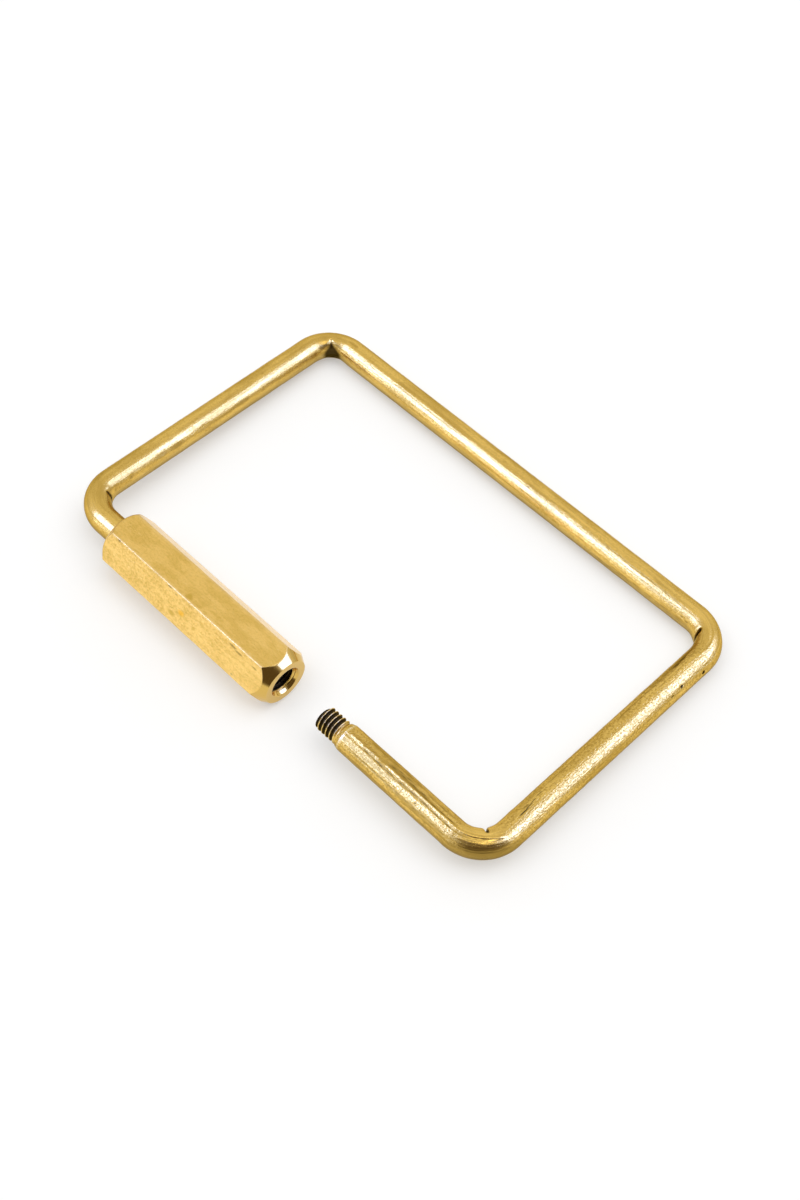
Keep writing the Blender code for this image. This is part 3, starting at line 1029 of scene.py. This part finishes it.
# Dark pits and scratches of the wire, by bend: an offset, a turn, a length, a width and a strength
WIRE_PITS = {
    "right_back": [
        (7.05, 159, 0.4, 0.3, 1.0),
        (12.25, 136, 0.32, 0.26, 0.95),
        (14.66, 141, 0.35, 0.12, 0.7),
        (-5.43, 27, 0.4, 0.16, 0.4),
        (-4.23, 20, 0.4, 0.16, 0.4),
        (-40.3, 61, 0.25, 0.12, 0.6),
        (8.2, 51, 1.0, 0.28, 0.65),
        (9.9, 55, 1.0, 0.25, 0.6),
    ],
    "right_front": [
        (-7.6, 83, 1.0, 0.11, 0.85),
        (-8.9, 79, 0.9, 0.09, 0.75),
        (-10.0, 75, 0.8, 0.09, 0.7),
        (-8.4, 72, 0.6, 0.08, 0.5),
        (-11.6, 70, 0.8, 0.08, 0.5),
        (11.7, 127, 0.22, 0.13, 0.6),
        (19.6, 108, 0.35, 0.12, 0.6),
        (13.2, 104, 0.35, 0.1, 0.6),
        (-0.45, 56, 0.42, 0.85, 1.0),
    ],
}

# Brown stains of the wire, in the same way, and at the right-hand front bend a painted dark reflection
WIRE_STAINS_AND_DARK_REFLECTION = {
    "left_back": [
        (42.3, 86, 0.5, 0.3, 0.8),
        (5.0, 88, 1.3, 0.4, 0.9),
    ],
    "right_back": [
        (8.3, 50, 1.2, 0.6, 1.0),
        (10.0, 50, 1.4, 0.5, 1.0),
    ],
    "left_front": [
        (3.9, 18, 0.9, 0.7, 0.9),
        (7.7, 25, 0.5, 0.4, 0.9),
        (14.7, 34, 1.5, 0.5, 1.0),
        (18.1, 30, 1.9, 0.6, 1.0),
        (13.6, 56, 0.7, 0.5, 0.6),
        (22.3, 52, 0.6, 0.7, 0.9),
        (33.0, 32, 2.2, 0.5, 1.0),
        (17.5, 68, 1.0, 0.4, 0.7),
    ],
    # A painted dark reflection on the outer side of this bend, not stains
    "right_front": [
        (0.0, 150, 4.0, 1.6, 0.9),
        (-4.0, 166, 3.0, 1.0, 0.6),
        (4.0, 168, 3.0, 1.0, 0.6),
    ],
}

# Dark nicks of the sleeve: a centre, a size along x, y and z, both in mm, and a strength
SLEEVE_NICKS = [
    ((-32.33, -29.98, 9.35), (0.40, 0.2, 0.22), 0.6),
    ((-19.91, -30.02, 9.3), (0.55, 0.15, 0.17), 0.6),
    ((-18.21, -30.20, 9.0), (0.35, 0.15, 0.14), 0.3),
    ((-4.88, -30.24, 8.95), (0.75, 0.18, 0.2), 0.55),
    ((-3.40, -30.36, 8.7), (0.85, 0.18, 0.2), 0.5),
    ((0.21, -30.45, 8.6), (0.50, 0.15, 0.17), 0.4),
    ((-3.1, -32.4, 5.2), (0.30, 0.2, 0.2), 0.35),
]

# Brown stains of the sleeve, in the same way
SLEEVE_STAINS = [
    ((-16.2, -29.1, 9.5), (1.0, 0.7, 0.5), 1.0),
    ((-14.0, -29.3, 9.5), (0.9, 0.4, 0.5), 0.8),
    ((-12.3, -29.5, 9.5), (0.7, 0.3, 0.5), 0.7),
    ((-17.9, -29.5, 9.5), (0.8, 0.4, 0.5), 0.7),
    ((-24.5, -24.8, 9.5), (1.6, 0.7, 0.5), 0.6),
    ((-6.0, -25.0, 9.5), (2.0, 0.8, 0.5), 0.5),
    ((-17.8, -31.9, 6.0), (0.9, 0.4, 0.5), 0.9),
    ((-12.9, -31.6, 6.6), (0.5, 0.3, 0.4), 0.7),
    ((-32.7, -26.6, 9.5), (1.1, 0.9, 0.5), 0.8),
    ((-31.0, -25.6, 9.5), (1.0, 0.7, 0.5), 0.7),
]
ORANGE_SPOT = ((-16.14, -31.29, 7.14), (0.7, 0.4, 0.45), 0.7)
ORANGE = (0.92, 0.47, 0.015, 1)

# How high the bumps of the materials stand: the wire's lines, grain and streaks, and the sleeve's skin and
# turning marks
WIRE_LINE_BUMP = 0.00008
WIRE_GRAIN_BUMP = 0.00007
STREAK_BUMP = 0.00002
SLEEVE_SKIN_BUMP = 0.00006
TURNING_BUMP = 0.000006


def on_wire(spots, places):
    """Spots of the wire as centres, sizes and strengths in its pattern coordinates."""
    radius = WIRE_RADIUS / MM
    for bend_name, marks in spots.items():
        for offset, turn, length, width, strength in marks:
            angle = math.radians(turn)
            centre = (places[bend_name] / MM + offset, radius * math.cos(angle), radius * math.sin(angle))
            yield centre, (length, width, width), strength


def wire_finish(effects, places):
    finish = Finish("wire_brass", (0.55, 0.48, 0.35, 1), effects)
    lined, grainy, streak = (finish.mark(name) for name in ("lined", "grainy", "streak"))
    lines = finish.effect("lines", Lines_per_mm=2.0)
    worn = finish.effect("grain", Grains_per_mm=3.3, Pit_share=0.3)
    hollow = finish.mark("hollow")
    stain_and_shade = finish.effect("tarnish_and_shade", Patches_per_mm=0.22, Hollow=hollow, Amount=0.4)
    stain = finish.times(finish.mark("dull"), 0.5, stain_and_shade["Mask"])
    stain = finish.times(finish.times(lines["Grooves"], lined), 0.55, stain)
    stain = finish.times(streak, 1.2, stain)
    mottle = finish.times(worn["Mottle"], 0.5, worn["Specks"])
    stain = finish.times(finish.times(mottle, grainy), 0.6, stain, clamp=True)
    # These stains include a painted dark reflection at the right-hand front bend
    stain = finish.most(stain, finish.spots(on_wire(WIRE_STAINS_AND_DARK_REFLECTION, places), 0.5))
    dark = finish.most(
        finish.times(stain_and_shade["Depth"], 0.95),
        finish.times(worn["Pits"], 0.5),
        finish.times(streak, finish.times(streak, 0.75)),
        finish.spots(on_wire(WIRE_PITS, places), 0.3),
    )
    tone = finish.effect(
        "tone",
        Stain=stain,
        # Painted shade on the wire's underside
        Grey=finish.times(finish.mark("underside_shade"), 0.6),
        Hollow=dark,
        Edge=finish.mark("edge"),
        Smooth=0.2,
        Rough=finish.times(finish.mark("threaded"), 0.3, 0.3),
    )
    return finish.complete(
        tone["Color"],
        tone["Roughness"],
        finish.times(dark, -0.08, 0.08),
        (finish.times(lines["Height"], lined), WIRE_LINE_BUMP),
        (finish.times(worn["Height"], grainy), WIRE_GRAIN_BUMP),
        (finish.times(streak, -1), STREAK_BUMP),
    )


def sleeve_finish(effects):
    finish = Finish("sleeve_brass", (1, 1, 1, 1), effects)
    lines = finish.effect("lines", Lines_per_mm=2.2)
    worn = finish.effect("grain", Grains_per_mm=2.7, Pit_share=0.3)
    turning = finish.effect("turning", Rings_per_mm=6.0)
    turned = finish.mark("turned")
    drawn_skin = finish.math("SUBTRACT", 1, turned)
    hollow = finish.mark("hollow")
    stain_and_shade = finish.effect("tarnish_and_shade", Patches_per_mm=0.5, Hollow=hollow, Amount=0.28)
    mottle = finish.times(worn["Specks"], 0.25, worn["Mottle"])
    mottle = finish.times(mottle, finish.mark("worn"))
    stain = finish.math("ADD", stain_and_shade["Mask"], finish.mark("dull"))
    stain = finish.times(mottle, 0.38, stain)
    nicks = finish.spots(SLEEVE_NICKS, 0.45)
    stain = finish.most(stain, finish.spots(SLEEVE_STAINS, 0.6), nicks)
    stain = finish.times(stain, drawn_skin, clamp=True)
    dark = finish.most(
        finish.times(stain_and_shade["Depth"], 0.97),
        finish.times(worn["Pits"], 0.4),
        finish.times(nicks, 0.8),
    )
    tone = finish.effect(
        "tone",
        Clean=(0.97, 0.63, 0.15, 1),
        Stained=(0.63, 0.383, 0.045, 1),
        Greyed=(0.40, 0.265, 0.07, 1),
        Stain=stain,
        # Painted shade on the turned ends, where they reflect darker surroundings
        Grey=finish.times(turned, 0.5),
        Hollow=dark,
        Edge=finish.times(finish.mark("edge"), 0.2),
        Smooth=finish.times(drawn_skin, 0.30, 0.14),
        Rough=0.5,
    )
    orange_spot = finish.spots([ORANGE_SPOT], 0.5)
    bare = finish.math("SUBTRACT", 1, finish.most(dark, turned))
    drawn_height = finish.times(lines["Height"], 0.15, worn["Height"])
    return finish.complete(
        finish.mix(orange_spot, tone["Color"], ORANGE),
        tone["Roughness"],
        finish.times(bare, finish.mark("gloss")),
        (finish.times(drawn_height, drawn_skin), SLEEVE_SKIN_BUMP),
        (finish.times(turning["Height"], turned), TURNING_BUMP),
    )


# Table, light and camera

TABLE_RADIUS = 3.0
TABLE_DROP = 0.00003
# The table is painted white near the ring and grey far from it, a painted fall-off of the light
TABLE_WHITE = (0.85, 0.85, 0.85, 1)
TABLE_FAR_GREY = (0.48, 0.48, 0.48, 1)
TABLE_WHITE_REACH = 0.20
TABLE_GREY_FROM = 0.50
TABLE_LIFT = 0.38

SoftBox = namedtuple("SoftBox", "name azimuth elevation width height brightness color on_table")
SOFT_BOX_DISTANCE = 1.4
WHITE = (1, 1, 1)
COOL = (0.35, 0.45, 1.0)
COLD = (0.15, 0.24, 1.0)
SOFT_BOXES = [
    SoftBox("left_soft_box", -36, 45, 0.70, 0.90, 11.5, COLD, False),
    SoftBox("right_soft_box", 135, 42, 1.05, 0.90, 9.6, COLD, False),
    SoftBox("low_soft_box", -18, 9, 1.00, 0.22, 4.2, COOL, False),
    SoftBox("left_fill", -36, 66, 1.10, 1.10, 1.5, WHITE, True),
    SoftBox("right_fill", 138, 66, 1.10, 1.10, 1.5, WHITE, True),
]

# The tent's level at the horizon and overhead, and the heights on the way up over which it changes
TENT_LEVELS = (0.68, 0.87)
TENT_FADES = (0.0, 0.3)

# The tent's gap, which fades out near the table, and its bright patch: each one's heading, the angles from it
# in degrees within which it is full and beyond which it is gone, and its colour
GAP_HEADING = (52, 27)
GAP_SPREAD = (30, 52)
GAP_FADES = (-0.05, 0.15)
GAP_COLOR = (0.12, 0.09, 0.06, 1)
PATCH_HEADING = (85, 74)
PATCH_SPREAD = (8, 15)
PATCH_COLOR = (2.35, 2.35, 2.35, 1)

CAMERA_LENS = 50
CAMERA_AZIMUTH = 41.634
CAMERA_ELEVATION = 55.85
CAMERA_ROLL = 3.742
CAMERA_PLACE = (0.10579, -0.116486, 0.228169)


def heading(azimuth, elevation):
    """The direction to something, from an azimuth that is 0 toward -Y and 90 toward +X, and an elevation."""
    turn, rise = math.radians(azimuth), math.radians(elevation)
    return Vector((math.sin(turn) * math.cos(rise), -math.cos(turn) * math.cos(rise), math.sin(rise)))


def make_table():
    bpy.ops.mesh.primitive_circle_add(
        vertices=64, radius=TABLE_RADIUS, fill_type="NGON", location=(0, 0, -TABLE_DROP)
    )
    table = bpy.context.object
    table.name = "white_table"
    material = bpy.data.materials.new("white_table")
    material.use_nodes = True
    nodes = Nodes(material.node_tree)
    shader = nodes.tree.nodes["Principled BSDF"]
    place = nodes.add("ShaderNodeTexCoord")["Object"]
    far = nodes.fade(nodes.vector("LENGTH", place, output="Value"), TABLE_WHITE_REACH, TABLE_GREY_FROM)
    nodes.link(nodes.mix(far, TABLE_WHITE, TABLE_FAR_GREY), shader.inputs["Base Color"])
    shader.inputs["Roughness"].default_value = 1
    shader.inputs["Specular IOR Level"].default_value = 0
    ray = nodes.add("ShaderNodeLightPath")
    seen = nodes.most(ray["Is Camera Ray"], ray["Is Glossy Ray"], ray["Is Transmission Ray"])
    lift = nodes.times(seen, TABLE_LIFT)
    glow_color = nodes.mix(far, (1, 1, 1, 1), TABLE_FAR_GREY)
    glow = nodes.add("ShaderNodeEmission", {"Color": glow_color, "Strength": 1})
    both = nodes.add("ShaderNodeMixShader", {0: lift, 1: shader.outputs[0], 2: glow[0]})
    nodes.link(both[0], nodes.tree.nodes["Material Output"].inputs["Surface"])
    table.data.materials.append(material)


def make_soft_box(box):
    """A soft box that only the metal mirrors, in a cool light, or a white one that only lights the table."""
    lamp = bpy.data.lights.new(box.name, "AREA")
    lamp.shape = "RECTANGLE"
    lamp.size = box.width
    lamp.size_y = box.height
    lamp.energy = box.brightness * math.pi * box.width * box.height
    lamp.color = box.color
    item = put(box.name, lamp)
    outward = heading(box.azimuth, box.elevation)
    item.location = outward * SOFT_BOX_DISTANCE
    item.rotation_mode = "QUATERNION"
    item.rotation_quaternion = outward.to_track_quat("Z", "Y")
    item.visible_camera = False
    item.visible_diffuse = box.on_table
    item.visible_glossy = not box.on_table


def cone_share(nodes, direction, middle, inner, outer):
    """1 for directions within the inner angle of a heading, falling to 0 at the outer angle."""
    dot = nodes.vector("DOT_PRODUCT", direction, tuple(heading(*middle)), output="Value")
    return nodes.fade(dot, math.cos(math.radians(outer)), math.cos(math.radians(inner)))


def make_surroundings():
    """A pale tent all round, with a dim warm gap on the camera's side and a brighter patch overhead."""
    world = bpy.data.worlds.new("tent")
    world.use_nodes = True
    nodes = Nodes(world.node_tree)
    direction = nodes.add("ShaderNodeTexCoord")["Generated"]
    height = nodes.add("ShaderNodeSeparateXYZ", {0: direction})["Z"]
    level = nodes.fade(height, *TENT_FADES, *TENT_LEVELS)
    color = nodes.add("ShaderNodeCombineColor", {0: level, 1: level, 2: level})[0]
    gap = cone_share(nodes, direction, GAP_HEADING, *GAP_SPREAD)
    gap = nodes.times(gap, nodes.fade(height, *GAP_FADES))
    color = nodes.mix(gap, color, GAP_COLOR)
    patch = cone_share(nodes, direction, PATCH_HEADING, *PATCH_SPREAD)
    color = nodes.mix(patch, color, PATCH_COLOR)
    nodes.link(color, nodes.tree.nodes["Background"].inputs["Color"])
    bpy.context.scene.world = world


def make_camera():
    back = heading(CAMERA_AZIMUTH, CAMERA_ELEVATION)
    azimuth = math.radians(CAMERA_AZIMUTH)
    level = Vector((math.cos(azimuth), math.sin(azimuth), 0))
    upright = back.cross(level)
    roll = math.radians(CAMERA_ROLL)
    right = level * math.cos(roll) + upright * math.sin(roll)
    up = back.cross(right)
    camera = bpy.data.cameras.new("camera")
    camera.lens = CAMERA_LENS
    item = put("camera", camera)
    item.matrix_world = Matrix.Translation(CAMERA_PLACE) @ Matrix((right, up, back)).transposed().to_4x4()
    bpy.context.scene.camera = item


def main():
    bpy.context.scene.view_settings.view_transform = "Standard"
    make_camera()
    make_table()
    for box in SOFT_BOXES:
        make_soft_box(box)
    make_surroundings()
    effects = {
        "lines": draw_lines(),
        "grain": worn_skin(),
        "tarnish_and_shade": tarnish_and_shade(),
        "tone": brass_tone(),
        "spot": dark_spot(),
        "turning": turning_marks(),
    }
    route = Route()
    wire = make_wire("brass_wire", route)
    wire.data.materials.append(wire_finish(effects, route.places))
    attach(wire, "frame")
    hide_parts("wire_frame")
    sleeve = make_sleeve("brass_hex_sleeve")
    sleeve.data.materials.append(sleeve_finish(effects))
    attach(sleeve, "sleeve")
    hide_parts("hex_sleeve")


main()
